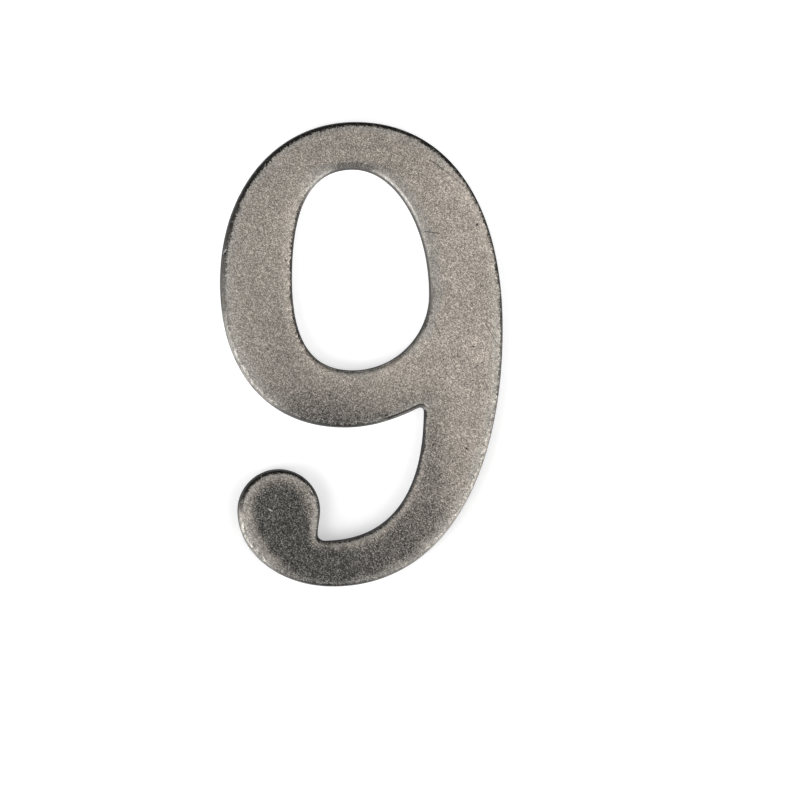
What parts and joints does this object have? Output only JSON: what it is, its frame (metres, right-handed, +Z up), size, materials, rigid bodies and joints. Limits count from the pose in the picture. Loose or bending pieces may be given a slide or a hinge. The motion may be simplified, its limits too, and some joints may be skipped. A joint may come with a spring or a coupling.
{
  "type": "magnetic house number",
  "caption": "Cast metal house number nine in an aged pewter finish, with drafted sides, a rolled face edge and disc magnets let into its flat back.",
  "frame": {"origin": "middle of the figure's width and height, on the plane of its flat back", "axes": "+Z up as the number hangs on the door, +X to the reader's right, +Y out of the back into the door, so the face looks along -Y"},
  "size_m": [0.0424, 0.003, 0.0696],
  "materials": {
    "numeral": "aged pewter plating on zinc alloy, satin, rubbed lighter along its edges",
    "magnet": "nickel plating"
  },
  "bodies": {
    "root": {"numeral": "numeral", "bowl_magnet": "magnet", "stem_magnet": "magnet", "ball_magnet": "magnet"}
  },
  "joints": []
}
